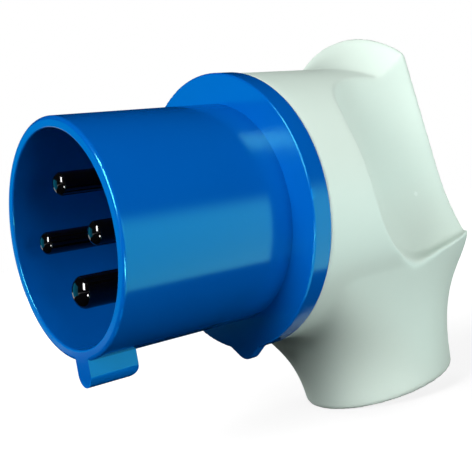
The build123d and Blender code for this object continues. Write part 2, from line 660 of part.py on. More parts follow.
def build_nodes():
    """Every separate piece of the plug, by node name."""
    nodes = {
        "front_sleeve": make_front_sleeve(),
        "flange_seal": make_flange_seal(),
        "contact_carrier": make_contact_carrier(),
        "carrier_backplate": make_carrier_backplate(),
        "backplate_screw": make_backplate_screw(),
        "assembly_screws": Compound([make_assembly_screw(angle) for angle in DIAGONALS]),
        "housing_inserts": Compound([make_insert(angle) for angle in DIAGONALS]),
        "rear_housing": make_rear_housing(),
        "gland_grommet": make_gland_grommet(),
        "gland_washer": make_gland_washer(),
        "gland_claw": make_gland_claw(),
        "gland_nut": make_gland_nut(),
    }
    for name, pin_r, wire_bore_r, angle in CONTACTS:
        nodes[f"pin_{name}"] = make_contact(pin_r, wire_bore_r, angle)
        nodes[f"clamp_leaf_{name}"] = make_clamp_leaf(wire_bore_r, angle)
    screws = [make_terminal_screw(wire_bore_r, angle) for _, _, wire_bore_r, angle in CONTACTS]
    nodes["terminal_screws"] = Compound(screws[:-1])
    nodes["earth_terminal_screw"] = screws[-1]
    return nodes


os.makedirs("parts", exist_ok=True)
for node_name, shape in build_nodes().items():
    export_step(shape, f"parts/{node_name}.step")
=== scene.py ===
"""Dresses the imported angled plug: finishes, the moulded skin, turned metal, the studio and the camera.

Every object is in metres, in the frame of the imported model: the origin is the centre of the sleeve's
mouth, +X runs back along the barrel axis and the cable outlet leaves towards -Z. The sizes of the turned
pieces are in millimetres, and MILLI brings them to metres.
"""

import logging
from dataclasses import dataclass, field
from enum import Enum
from math import copysign, cos, pi, radians, sin, sqrt

import bmesh
import bpy
from bpy.types import Material, Mesh, Node, NodeOutputs, NodeSocket, NodeTree, Object
from mathutils import Matrix, Vector


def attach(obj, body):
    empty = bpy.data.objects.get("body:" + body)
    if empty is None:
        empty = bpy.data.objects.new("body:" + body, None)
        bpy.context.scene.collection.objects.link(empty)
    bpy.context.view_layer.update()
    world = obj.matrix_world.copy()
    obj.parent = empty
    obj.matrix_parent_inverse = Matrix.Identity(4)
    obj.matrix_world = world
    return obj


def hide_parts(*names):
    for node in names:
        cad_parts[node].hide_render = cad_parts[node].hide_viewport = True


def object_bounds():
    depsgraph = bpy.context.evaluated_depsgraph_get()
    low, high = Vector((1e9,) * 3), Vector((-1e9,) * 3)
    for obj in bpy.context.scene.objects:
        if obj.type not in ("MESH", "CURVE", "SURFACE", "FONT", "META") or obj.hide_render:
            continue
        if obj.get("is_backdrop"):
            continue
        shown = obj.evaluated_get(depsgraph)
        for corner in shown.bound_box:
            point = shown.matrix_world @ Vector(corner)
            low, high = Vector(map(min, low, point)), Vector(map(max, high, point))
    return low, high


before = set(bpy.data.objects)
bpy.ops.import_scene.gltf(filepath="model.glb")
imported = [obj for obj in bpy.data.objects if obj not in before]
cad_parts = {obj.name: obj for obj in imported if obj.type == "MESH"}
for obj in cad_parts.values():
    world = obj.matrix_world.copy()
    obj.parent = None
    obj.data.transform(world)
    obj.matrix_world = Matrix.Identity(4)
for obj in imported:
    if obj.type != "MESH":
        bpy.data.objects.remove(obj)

LOG = logging.getLogger("angled_plug")
BODY = "root"
MILLI = 0.001
JOIN_DISTANCE = 2e-6
SLIVER = 1e-7
SHARP_ANGLE = 32.0

Colour = tuple[float, float, float, float]
Place = tuple[float, float, float]
Span = tuple[float, float]
WHITE: Colour = (1.0, 1.0, 1.0, 1.0)
BLACK: Colour = (0.0, 0.0, 0.0, 1.0)


class Clock(Enum):
    """Clock positions about the barrel axis, in degrees from +Y towards +Z."""

    TOP = 90.0
    LEFT = 180.0
    RIGHT = 0.0
    BOTTOM = 270.0


class Effect(Enum):
    """Shader effects that several finishes share."""

    MOULDING_GRAIN = "moulding_grain"
    EDGE_RUB = "edge_rub"
    TURNING_MARKS = "turning_marks"


class Machine(Enum):
    """Geometry node trees that make turned and repeated pieces."""

    LATHE = "lathe"
    DIVIDING_HEAD = "dividing_head"


def shade(red: float, green: float, blue: float) -> Colour:
    """Linear colour from screen values between 0 and 255.

    Args:
        red: Red screen value.
        green: Green screen value.
        blue: Blue screen value.

    Returns:
        The colour with an alpha of 1.
    """
    def linear(value: float) -> float:
        """One channel in linear light."""
        part = value / 255
        return part / 12.92 if part <= 0.04045 else ((part + 0.055) / 1.055) ** 2.4

    return (linear(red), linear(green), linear(blue), 1.0)


@dataclass
class Wiring:
    """Short hand for the nodes of one tree."""

    tree: NodeTree

    def feed(self, node: Node, values: dict[str | int, object]) -> None:
        """Sets or links the inputs of a node.

        Args:
            node: The node.
            values: What each input gets, a socket or a plain value.
        """
        for label, source in values.items():
            if isinstance(source, NodeSocket):
                self.tree.links.new(source, node.inputs[label])
            else:
                node.inputs[label].default_value = source

    def node(self, kind: str, values: dict[str | int, object] | None = None, **settings: object) -> Node:
        """Adds a node.

        Args:
            kind: Type name of the node.
            values: What each input gets, a socket or a plain value.
            **settings: Properties set on the node first.

        Returns:
            The node.
        """
        made = self.tree.nodes.new(kind)
        for label, value in settings.items():
            setattr(made, label, value)
        self.feed(made, values or {})
        return made

    def math(self, operation: str, *terms: object, **settings: bool) -> NodeSocket:
        """Adds a math node.

        Args:
            operation: Its operation.
            *terms: Its inputs, sockets or numbers.
            **settings: Properties set on the node.

        Returns:
            Its result.
        """
        return self.node("ShaderNodeMath", dict(enumerate(terms)), operation=operation, **settings).outputs[0]

    def smooth_step(self, value: NodeSocket, start: object, end: object, low: float = 0.0,
                    high: float = 1.0) -> NodeSocket:
        """Adds a soft ramp.

        Args:
            value: What the ramp reads.
            start: Where it begins, a socket or a number.
            end: Where it ends, a socket or a number.
            low: What it gives at its beginning.
            high: What it gives at its end.

        Returns:
            Its result.
        """
        values = {"Value": value, "From Min": start, "From Max": end, "To Min": low, "To Max": high}
        return self.node("ShaderNodeMapRange", values, interpolation_type="SMOOTHSTEP").outputs["Result"]

    def object_place(self) -> NodeSocket:
        """Adds the object coordinates."""
        return self.node("ShaderNodeTexCoord").outputs["Object"]

    def noise(self, place: NodeSocket, scale: object, detail: float,
              distortion: float = 0.0) -> NodeSocket:
        """Adds a noise texture.

        Args:
            place: Coordinates that it reads.
            scale: Its scale, a socket or a number.
            detail: How many finer layers it has.
            distortion: How much it is warped.

        Returns:
            Its value.
        """
        values = {"Vector": place, "Scale": scale, "Detail": detail, "Distortion": distortion}
        return self.node("ShaderNodeTexNoise", values).outputs["Fac"]

    def bump(self, distance: float, strength: object, height: NodeSocket) -> NodeSocket:
        """Adds a bump.

        Args:
            distance: Its depth in metres.
            strength: Its strength, a socket or a number.
            height: Its height.

        Returns:
            The bent normal.
        """
        values = {"Distance": distance, "Strength": strength, "Height": height}
        return self.node("ShaderNodeBump", values).outputs["Normal"]


@dataclass
class ShaderTools:
    """The shader node groups that the finishes share, each built once."""

    groups: dict[Effect, NodeTree] = field(default_factory=dict)

    def group(self, effect: Effect) -> NodeTree:
        """Returns the group of an effect, which is built at its first use.

        Args:
            effect: The effect.

        Returns:
            The shader node group.
        """
        if effect not in self.groups:
            builders = {
                Effect.MOULDING_GRAIN: self.build_moulding_grain,
                Effect.EDGE_RUB: self.build_edge_rub,
                Effect.TURNING_MARKS: self.build_turning_marks,
            }
            self.groups[effect] = builders[effect](effect.value)
        return self.groups[effect]

    @staticmethod
    def open_group(name: str, inputs: dict[str, float]) -> tuple[Wiring, NodeOutputs]:
        """Starts a group with its number inputs.

        Args:
            name: Name of the group.
            inputs: Default of each input by its name.

        Returns:
            The wiring of the group, and the sockets that give its inputs.
        """
        wiring = Wiring(bpy.data.node_groups.new(name, "ShaderNodeTree"))
        for label, default in inputs.items():
            socket = wiring.tree.interface.new_socket(label, in_out="INPUT", socket_type="NodeSocketFloat")
            socket.default_value = default
        return wiring, wiring.node("NodeGroupInput").outputs

    @staticmethod
    def close_group(wiring: Wiring, results: dict[str, NodeSocket]) -> NodeTree:
        """Ends a group with its outputs.

        Args:
            wiring: The wiring of the group.
            results: Socket behind each output by its name.

        Returns:
            The shader node group.
        """
        for label, source in results.items():
            kind = "NodeSocketVector" if source.type == "VECTOR" else "NodeSocketFloat"
            wiring.tree.interface.new_socket(label, in_out="OUTPUT", socket_type=kind)
        wiring.node("NodeGroupOutput", results)
        return wiring.tree

    def build_moulding_grain(self, name: str) -> NodeTree:
        """Moulded plastic: slow flow shading, a fine spark-eroded grain and its bump.

        Args:
            name: Name of the group.

        Returns:
            The group, with outputs Flow, Roughness and Normal.
        """
        wiring, given = self.open_group(name, {
            "Grain Scale": 2600.0, "Flow Scale": 38.0, "Roughness": 0.35, "Spread": 0.08, "Depth": 0.2,
        })
        place = wiring.object_place()
        flow = wiring.noise(place, given["Flow Scale"], detail=3.0, distortion=0.6)
        grain = wiring.noise(place, given["Grain Scale"], detail=2.0)
        ripple = wiring.noise(place, 210.0, detail=1.0)
        centred = wiring.math("SUBTRACT", flow, 0.5)
        rough = wiring.math("MULTIPLY_ADD", centred, given["Spread"], given["Roughness"])
        normal = wiring.bump(0.00005, given["Depth"], wiring.math("MULTIPLY_ADD", ripple, 0.5, grain))
        return self.close_group(wiring, {"Flow": flow, "Roughness": rough, "Normal": normal})

    def build_edge_rub(self, name: str) -> NodeTree:
        """Mask of the edges that hands and sockets rub, broken up by noise.

        Args:
            name: Name of the group.

        Returns:
            The group, with output Mask.
        """
        wiring, given = self.open_group(name, {"Start": 0.53, "End": 0.62, "Break Up": 0.5})
        pointiness = wiring.node("ShaderNodeNewGeometry").outputs["Pointiness"]
        rubbed = wiring.smooth_step(pointiness, given["Start"], given["End"])
        patches = wiring.noise(wiring.object_place(), 160.0, detail=4.0)
        gap = wiring.math("MULTIPLY", patches, given["Break Up"])
        return self.close_group(wiring, {"Mask": wiring.math("SUBTRACT", rubbed, gap, use_clamp=True)})

    def build_turning_marks(self, name: str) -> NodeTree:
        """Fine rings left by a lathe, square to the barrel axis, with bright and dull bands.

        Args:
            name: Name of the group.

        Returns:
            The group, with outputs Mask, Roughness and Normal.
        """
        wiring, given = self.open_group(name, {
            "Pitch Scale": 900.0, "Roughness": 0.2, "Spread": 0.1, "Depth": 0.2,
        })
        stretch = {"Vector": wiring.object_place(), "Scale": (1.0, 0.04, 0.04)}
        stretched = wiring.node("ShaderNodeMapping", stretch).outputs["Vector"]
        rings = wiring.noise(stretched, given["Pitch Scale"], detail=5.0)
        rough = wiring.math("MULTIPLY_ADD", rings, given["Spread"], given["Roughness"])
        normal = wiring.bump(0.00003, given["Depth"], rings)
        return self.close_group(wiring, {"Mask": rings, "Roughness": rough, "Normal": normal})


TOOLS = ShaderTools()


def start_material(name: str) -> tuple[Material, Wiring, Node]:
    """Makes a material with its surface shader.

    Args:
        name: Name of the material.

    Returns:
        The material, its wiring and its Principled shader node.
    """
    material = bpy.data.materials.new(name)
    material.use_nodes = True
    return material, Wiring(material.node_tree), material.node_tree.nodes["Principled BSDF"]


@dataclass(frozen=True)
class Finish:
    """What every finish has: a name, shared effects and colours that blend."""

    name: str

    def build(self) -> Material:
        """Builds the material; each kind of finish has its own way."""
        raise NotImplementedError(self.name)

    @staticmethod
    def place_group(wiring: Wiring, effect: Effect, **values: float) -> NodeOutputs:
        """Puts a shared effect into a material.

        Args:
            wiring: Wiring of the material.
            effect: The effect.
            **values: Input values by socket name, with an underscore for a space.

        Returns:
            The outputs of the effect.
        """
        named = {label.replace("_", " ").title(): value for label, value in values.items()}
        return wiring.node("ShaderNodeGroup", named, node_tree=TOOLS.group(effect)).outputs

    @staticmethod
    def blend(wiring: Wiring, factor: NodeSocket, low: object, high: object) -> NodeSocket:
        """Blends two colours.

        Args:
            wiring: Wiring of the material.
            factor: What drives the blend.
            low: Colour where the factor is 0, a socket or a plain colour.
            high: Colour where the factor is 1, a socket or a plain colour.

        Returns:
            The blended colour.
        """
        return wiring.node(
            "ShaderNodeMix", {"Factor": factor, "A": low, "B": high}, data_type="RGBA",
        ).outputs["Result"]


@dataclass(frozen=True)
class Moulding(Finish):
    """Injection-moulded plastic with a fine grain and slightly rubbed edges."""

    deep: Colour
    light: Colour
    rubbed: Colour
    roughness: float = 0.35
    spread: float = 0.08
    grain_scale: float = 2600.0
    depth: float = 0.15
    gloss: float = 0.5
    glint: Colour = WHITE

    def build(self) -> Material:
        """Builds the material.

        Returns:
            The finished material.
        """
        material, wiring, shader = start_material(self.name)
        grain = self.place_group(
            wiring, Effect.MOULDING_GRAIN, grain_scale=self.grain_scale, roughness=self.roughness,
            spread=self.spread, depth=self.depth,
        )
        rub = self.place_group(wiring, Effect.EDGE_RUB)
        flow = self.blend(wiring, grain["Flow"], self.deep, self.light)
        wiring.feed(shader, {
            "Base Color": self.blend(wiring, rub["Mask"], flow, self.rubbed),
            "Roughness": grain["Roughness"], "Normal": grain["Normal"],
            "Specular IOR Level": self.gloss, "Specular Tint": self.glint,
        })
        return material


@dataclass(frozen=True)
class TurnedMetal(Finish):
    """Turned or plated metal with rings from the lathe."""

    dull: Colour
    bright: Colour
    metallic: float = 1.0
    roughness: float = 0.22
    spread: float = 0.12
    depth: float = 0.2
    gloss: float = 0.5

    def build(self) -> Material:
        """Builds the material.

        Returns:
            The finished material.
        """
        material, wiring, shader = start_material(self.name)
        marks = self.place_group(
            wiring, Effect.TURNING_MARKS, roughness=self.roughness, spread=self.spread, depth=self.depth,
        )
        wiring.feed(shader, {
            "Base Color": self.blend(wiring, marks["Mask"], self.dull, self.bright),
            "Roughness": marks["Roughness"], "Normal": marks["Normal"],
            "Metallic": self.metallic, "Specular IOR Level": self.gloss,
        })
        return material


BLUE_SHELL = Moulding(
    "blue_moulding", shade(0, 82, 168), shade(0, 88, 174), shade(0, 108, 196),
    roughness=0.16, spread=0.05, depth=0.05, gloss=0.6, glint=(0.12, 1.0, 0.85, 1.0),
)
# The carrier's dark blue is painted shade: it stands in for the shadow deep inside the mouth.
BLUE_CARRIER_PAINTED_SHADE = Moulding(
    "blue_carrier_painted_shade", shade(0, 18, 66), shade(2, 24, 76), shade(14, 48, 110), roughness=0.42, depth=0.2,
)
PALE_SHELL = Moulding(
    "pale_moulding", shade(208, 225, 215), shade(213, 229, 219), shade(226, 240, 232),
    roughness=0.42, spread=0.1, depth=0.22, gloss=0.3,
)
DARK_PLATE = Moulding(
    "dark_grey_moulding", shade(52, 54, 56), shade(60, 62, 64), shade(88, 90, 92), roughness=0.5, depth=0.3,
)
SEAL_RUBBER = Moulding(
    "black_rubber", shade(26, 26, 27), shade(36, 36, 37), shade(58, 58, 60), roughness=0.68, spread=0.14,
    grain_scale=1500.0, depth=0.5,
)
# The pins are nickel-plated brass; their near-black colour is a painted reflection of dark surroundings.
PIN_PAINTED_DARK_REFLECTION = TurnedMetal(
    "pin_black_painted_reflection", shade(3, 3, 4), shade(9, 9, 10), metallic=0.0, roughness=0.04, spread=0.04, depth=0.03,
    gloss=0.45,
)
BRASS = TurnedMetal("turned_brass", shade(196, 158, 84), shade(226, 190, 112), roughness=0.24)
ZINC_STEEL = TurnedMetal("zinc_plated_steel", shade(168, 172, 178), shade(206, 210, 214), roughness=0.26)


@dataclass
class Wardrobe:
    """Builds each finish once and puts it on objects."""

    made: dict[str, Material] = field(default_factory=dict)

    def material(self, finish: Finish) -> Material:
        """Returns the material of a finish, which is built at its first use.

        Args:
            finish: The finish.

        Returns:
            Its material.
        """
        if finish.name not in self.made:
            self.made[finish.name] = finish.build()
        return self.made[finish.name]

    def dress(self, obj: Object, finish: Finish) -> None:
        """Gives an object one finish in all its slots.

        Args:
            obj: Object to dress.
            finish: Finish that it gets.
        """
        material = self.material(finish)
        if not obj.material_slots:
            obj.data.materials.append(material)
        for slot in obj.material_slots:
            slot.material = material


WARDROBE = Wardrobe()


def add_object(name: str, mesh: Mesh) -> Object:
    """Puts a mesh into the scene at the origin.

    Args:
        name: Name of the new object.
        mesh: Its mesh, in the object frame.

    Returns:
        The new object.
    """
    obj = bpy.data.objects.new(name, mesh)
    bpy.context.scene.collection.objects.link(obj)
    return obj


def settle(obj: Object) -> None:
    """Turns an object's modifiers into plain mesh and removes them.

    Args:
        obj: Object with live modifiers.
    """
    graph = bpy.context.evaluated_depsgraph_get()
    result = bpy.data.meshes.new_from_object(obj.evaluated_get(graph))
    obj.modifiers.clear()
    old = obj.data
    obj.data = result
    bpy.data.meshes.remove(old)


def carve(piece: Object, tool: Mesh) -> None:
    """Cuts a closed tool out of a piece.

    Args:
        piece: The piece.
        tool: Mesh of the tool, in the piece's frame.
    """
    cutter = add_object("cutter", tool)
    gap = piece.modifiers.new("gap", "BOOLEAN")
    gap.operation = "DIFFERENCE"
    gap.solver = "EXACT"
    gap.object = cutter
    settle(piece)
    bpy.data.objects.remove(cutter)
    bpy.data.meshes.remove(tool)


def smooth(piece: Object) -> None:
    """Shades a piece smoothly between its sharp edges."""
    piece.data.shade_smooth()
    piece.data.set_sharp_from_angle(angle=radians(SHARP_ANGLE))


def finish_piece(obj: Object, finish: Finish, slot: str, *nodes: str) -> None:
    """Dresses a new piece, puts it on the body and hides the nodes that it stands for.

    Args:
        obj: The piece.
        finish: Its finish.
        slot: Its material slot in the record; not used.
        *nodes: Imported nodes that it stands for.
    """
    WARDROBE.dress(obj, finish)
    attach(obj, BODY)
    if nodes:
        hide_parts(*nodes)
    LOG.info("%s: %d faces", obj.name, len(obj.data.polygons))


@dataclass
class TreeMaker(Wiring):
    """Wiring of a geometry node tree, from its named inputs to plain meshes that wear a finish."""

    inputs: dict[str, str]
    given: NodeOutputs = field(init=False)

    def __post_init__(self) -> None:
        """Gives the tree its geometry, its named inputs and its finish."""
        face = self.tree.interface
        face.new_socket("Geometry", in_out="INPUT", socket_type="NodeSocketGeometry")
        for label, kind in {**self.inputs, "Finish": "Material"}.items():
            face.new_socket(label, in_out="INPUT", socket_type=f"NodeSocket{kind}")
        face.new_socket("Geometry", in_out="OUTPUT", socket_type="NodeSocketGeometry")
        self.given = self.node("NodeGroupInput").outputs

    def close(self, geometry: NodeSocket) -> NodeTree:
        """Ends the tree with plain meshes that wear the finish.

        Args:
            geometry: What the tree has made.

        Returns:
            The finished tree.
        """
        plain = self.node("GeometryNodeRealizeInstances", {"Geometry": geometry}).outputs[0]
        worn = self.node("GeometryNodeSetMaterial", {"Geometry": plain, "Material": self.given["Finish"]})
        self.node("NodeGroupOutput", {0: worn.outputs[0]})
        return self.tree


@dataclass
class Workshop:
    """The lathe and the dividing head, each built once."""

    trees: dict[Machine, NodeTree] = field(default_factory=dict)

    def tree(self, machine: Machine) -> NodeTree:
        """Returns the tree of a machine, which is built at its first use.

        Args:
            machine: The machine.

        Returns:
            The geometry node tree.
        """
        if machine not in self.trees:
            builders = {Machine.LATHE: self.build_lathe, Machine.DIVIDING_HEAD: self.build_dividing_head}
            empty = bpy.data.node_groups.new(machine.value, "GeometryNodeTree")
            self.trees[machine] = builders[machine](empty)
        return self.trees[machine]

    @staticmethod
    def build_lathe(tree: NodeTree) -> NodeTree:
        """Turns an outline of (x, radius) points about X, with a thread or a knurl cut into it.

        The cut is a wave that runs along X by its turns and around by its count, so that one turn around
        makes a thread and many make a knurl.

        Args:
            tree: The empty tree.

        Returns:
            The finished tree.
        """
        cut_sizes = ("Cut From", "Cut To", "Cut Over", "Cut Depth", "Cut Turns", "Cut Count")
        maker = TreeMaker(tree, {"Rows": "Int", "Steps": "Int", **dict.fromkeys(cut_sizes, "Float")})
        given, math = maker.given, maker.math
        across = math("ADD", given["Steps"], 1)
        grid = maker.node("GeometryNodeMeshGrid", {"Vertices X": given["Rows"], "Vertices Y": across})
        index = maker.node("GeometryNodeInputIndex").outputs[0]
        row = math("FLOOR", math("DIVIDE", math("ADD", index, 0.5), across))
        share = math("DIVIDE", math("SUBTRACT", index, math("MULTIPLY", row, across)), given["Steps"])
        place = maker.node("GeometryNodeInputPosition").outputs[0]
        sample = maker.node(
            "GeometryNodeSampleIndex", {"Geometry": given["Geometry"], "Value": place, "Index": row},
            data_type="FLOAT_VECTOR",
        )
        parts = maker.node("ShaderNodeSeparateXYZ", {0: sample.outputs[0]}).outputs
        turn = math("MULTIPLY", share, 2 * pi)
        run = math("MULTIPLY", math("MULTIPLY", parts["X"], given["Cut Turns"]), 2 * pi)
        phase = math("ADD", run, math("MULTIPLY", turn, given["Cut Count"]))
        wave = math("MULTIPLY_ADD", math("COSINE", phase), 0.5, 0.5)
        after = math("GREATER_THAN", parts["X"], given["Cut From"])
        inside = math("MULTIPLY", after, math("LESS_THAN", parts["X"], given["Cut To"]))
        inside = math("MULTIPLY", inside, math("GREATER_THAN", parts["Y"], given["Cut Over"]))
        depth = math("MULTIPLY", math("MULTIPLY", wave, given["Cut Depth"]), inside)
        radius = math("SUBTRACT", parts["Y"], depth)
        ring = maker.node("ShaderNodeCombineXYZ", {
            "X": parts["X"], "Y": math("MULTIPLY", radius, math("COSINE", turn)),
            "Z": math("MULTIPLY", radius, math("SINE", turn)),
        })
        turned = maker.node(
            "GeometryNodeSetPosition", {"Geometry": grid.outputs[0], "Position": ring.outputs[0]},
        ).outputs[0]
        joined = maker.node("GeometryNodeMergeByDistance", {"Geometry": turned, "Distance": JOIN_DISTANCE})
        return maker.close(joined.outputs[0])

    @staticmethod
    def build_dividing_head(tree: NodeTree) -> NodeTree:
        """Repeats a piece about the barrel axis.

        Args:
            tree: The empty tree.

        Returns:
            The finished tree.
        """
        maker = TreeMaker(tree, {"Count": "Int", "First": "Float", "Step": "Float"})
        given = maker.given
        index = maker.node("GeometryNodeInputIndex").outputs[0]
        angle = maker.math("MULTIPLY_ADD", index, given["Step"], given["First"])
        turn = maker.node("FunctionNodeAxisAngleToRotation", {"Axis": (1.0, 0.0, 0.0), "Angle": angle})
        spread = maker.node("GeometryNodeInstanceOnPoints", {
            "Points": maker.node("GeometryNodePoints", {"Count": given["Count"]}).outputs[0],
            "Instance": given["Geometry"], "Rotation": turn.outputs[0],
        })
        return maker.close(spread.outputs[0])

    def run(self, obj: Object, machine: Machine, finish: Finish, **values: float) -> None:
        """Runs a machine on an object and keeps the result as plain mesh.

        Args:
            obj: Object whose mesh the machine reads.
            machine: The machine.
            finish: Finish that the piece wears.
            **values: Input values by socket name, with an underscore for a space.
        """
        tree = self.tree(machine)
        modifier = obj.modifiers.new(machine.value, "NODES")
        modifier.node_group = tree
        wanted = {label.replace("_", " ").title(): value for label, value in values.items()}
        wanted["Finish"] = WARDROBE.material(finish)
        for item in tree.interface.items_tree:
            if item.item_type == "SOCKET" and item.in_out == "INPUT" and item.name in wanted:
                modifier[item.identifier] = wanted[item.name]
        settle(obj)


WORKSHOP = Workshop()


@dataclass(frozen=True)
class Cut:
    """A thread or a knurl on a turned piece, in millimetres."""

    start: float = 0.0
    end: float = 0.0
    over: float = 0.0
    depth: float = 0.0
    pitch: float = 0.0
    count: int = 1
    rows_per_pitch: int = 6

    def rows(self, x0: float, x1: float) -> list[float]:
        """Places along a run that show the cut.

        Args:
            x0: Start of the run.
            x1: End of the run.

        Returns:
            The places between the two ends.
        """
        if not self.depth or min(x0, x1) >= self.end or max(x0, x1) <= self.start:
            return []
        number = max(2, round(abs(x1 - x0) / self.pitch * self.rows_per_pitch))
        return [x0 + (x1 - x0) * row / number for row in range(1, number)]


@dataclass
class TurnedPiece:
    """A piece turned about the X axis from an outline in millimetres."""

    name: str
    finish: Finish
    outline: list[tuple[float, float]]
    cut: Cut = Cut()
    steps: int = 64

    def turn(self) -> Object:
        """Turns the outline on the lathe.

        Returns:
            The piece, on the X axis.
        """
        cut = self.cut
        points = [self.outline[0]]
        for (x0, r0), (x1, r1) in zip(self.outline, self.outline[1:]):
            points += [(x, r0 + (r1 - r0) * (x - x0) / (x1 - x0)) for x in cut.rows(x0, x1) if r0 and r1]
            points.append((x1, r1))
        mesh = bpy.data.meshes.new(self.name)
        edges = [(number, number + 1) for number in range(len(points) - 1)]
        mesh.from_pydata([(x * MILLI, r * MILLI, 0.0) for x, r in points], edges, [])
        piece = add_object(self.name, mesh)
        WORKSHOP.run(
            piece, Machine.LATHE, self.finish, rows=len(points), steps=self.steps,
            cut_from=cut.start * MILLI, cut_to=cut.end * MILLI, cut_over=cut.over * MILLI,
            cut_depth=cut.depth * MILLI, cut_turns=1 / (cut.pitch * MILLI) if cut.pitch else 0.0,
            cut_count=float(cut.count),
        )
        shell = bmesh.new()
        shell.from_mesh(piece.data)
        bmesh.ops.dissolve_degenerate(shell, edges=shell.edges, dist=SLIVER)
        bmesh.ops.recalc_face_normals(shell, faces=shell.faces)
        shell.to_mesh(piece.data)
        shell.free()
        return piece


def prism(points: list[tuple[float, float]], x0: float, x1: float) -> Mesh:
    """Makes a closed prism along X.

    Args:
        points: Its outline in Y and Z, in millimetres, anticlockwise seen from +X.
        x0: Its low end, in millimetres.
        x1: Its high end, in millimetres.

    Returns:
        The mesh.
    """
    number = len(points)
    corners = [(x * MILLI, y * MILLI, z * MILLI) for x in (x0, x1) for y, z in points]
    sides = [(row, (row + 1) % number, (row + 1) % number + number, row + number) for row in range(number)]
    mesh = bpy.data.meshes.new("prism")
    mesh.from_pydata(corners, [], [*sides, tuple(reversed(range(number))), tuple(range(number, 2 * number))])
    return mesh


@dataclass
class Contacts:
    """The four turned contacts: domed pin, neck, and a barrel with its wire bore and screw hole."""

    pitch_r: float = 11.4
    phase_pin_r: float = 2.5
    phase_bore_r: float = 2.3
    earth_pin_r: float = 3.5
    earth_bore_r: float = 2.8
    wall: float = 2.2
    tip: float = 1.0
    dome_share: float = 0.65
    dome_rows: int = 20
    neck_depth: float = 0.25
    neck_front: float = 38.7
    barrel_front: float = 45.0
    barrel_back: float = 60.0
    edge: float = 0.15
    wire_depth: float = 12.0
    screw_x: float = 55.4
    hole_r: float = 2.0
    hole_steps: int = 40

    def outline(self, pin_r: float, bore_r: float) -> list[tuple[float, float]]:
        """Outline of one contact, from its tip round to the end of its bore.

        Args:
            pin_r: Radius of the pin.
            bore_r: Radius of the wire bore.

        Returns:
            The points (x, radius) in millimetres.
        """
        dome = pin_r * self.dome_share
        angles = [pi / 2 * row / self.dome_rows for row in range(self.dome_rows + 1)]
        nose = [(self.tip + dome * (1 - cos(angle)), pin_r * sin(angle)) for angle in angles]
        barrel_r, neck_r = bore_r + self.wall, pin_r - self.neck_depth
        front, back, edge = self.barrel_front, self.barrel_back, self.edge
        bore_end = back - self.wire_depth
        return [
            *nose, (self.neck_front, pin_r), (self.neck_front, neck_r), (front, neck_r),
            (front, barrel_r - edge), (front + edge, barrel_r), (back - edge, barrel_r),
            (back, barrel_r - edge), (back, bore_r), (bore_end, bore_r), (bore_end, 0.0),
        ]

    def drill(self, piece: Object, bore_r: float) -> None:
        """Drills the screw hole into the +Z side of a contact that lies on the X axis.

        Args:
            piece: The contact.
            bore_r: Radius of its wire bore.
        """
        turns = [2 * pi * step / self.hole_steps for step in range(self.hole_steps)]
        ring = [(self.hole_r * cos(turn), self.hole_r * sin(turn)) for turn in turns]
        tool = prism(ring, 0.0, 2 * (bore_r + self.wall))
        tool.transform(Matrix.Translation((self.screw_x * MILLI, 0, 0)) @ Matrix.Rotation(-pi / 2, 4, "Y"))
        carve(piece, tool)

    def build(self) -> None:
        """Turns the contacts, drills them for their screws and puts them at their clock positions."""
        phase, earth = (self.phase_pin_r, self.phase_bore_r), (self.earth_pin_r, self.earth_bore_r)
        places = {
            "pin_l1": (*phase, Clock.LEFT), "pin_l2": (*phase, Clock.TOP), "pin_l3": (*phase, Clock.RIGHT),
            "pin_earth": (*earth, Clock.BOTTOM),
        }
        for node, (pin_r, bore_r, clock) in places.items():
            # The pins' near-black colour is a painted dark reflection.
            piece = TurnedPiece(f"turned_{node}", PIN_PAINTED_DARK_REFLECTION, self.outline(pin_r, bore_r)).turn()
            self.drill(piece, bore_r)
            smooth(piece)
            # The hole points along +Z, the top, so the piece turns from there to its clock position.
            turn = Matrix.Rotation(radians(clock.value - Clock.TOP.value), 4, "X")
            piece.data.transform(turn @ Matrix.Translation((0, 0, self.pitch_r * MILLI)))
            finish_piece(piece, PIN_PAINTED_DARK_REFLECTION, "black_contact", node)


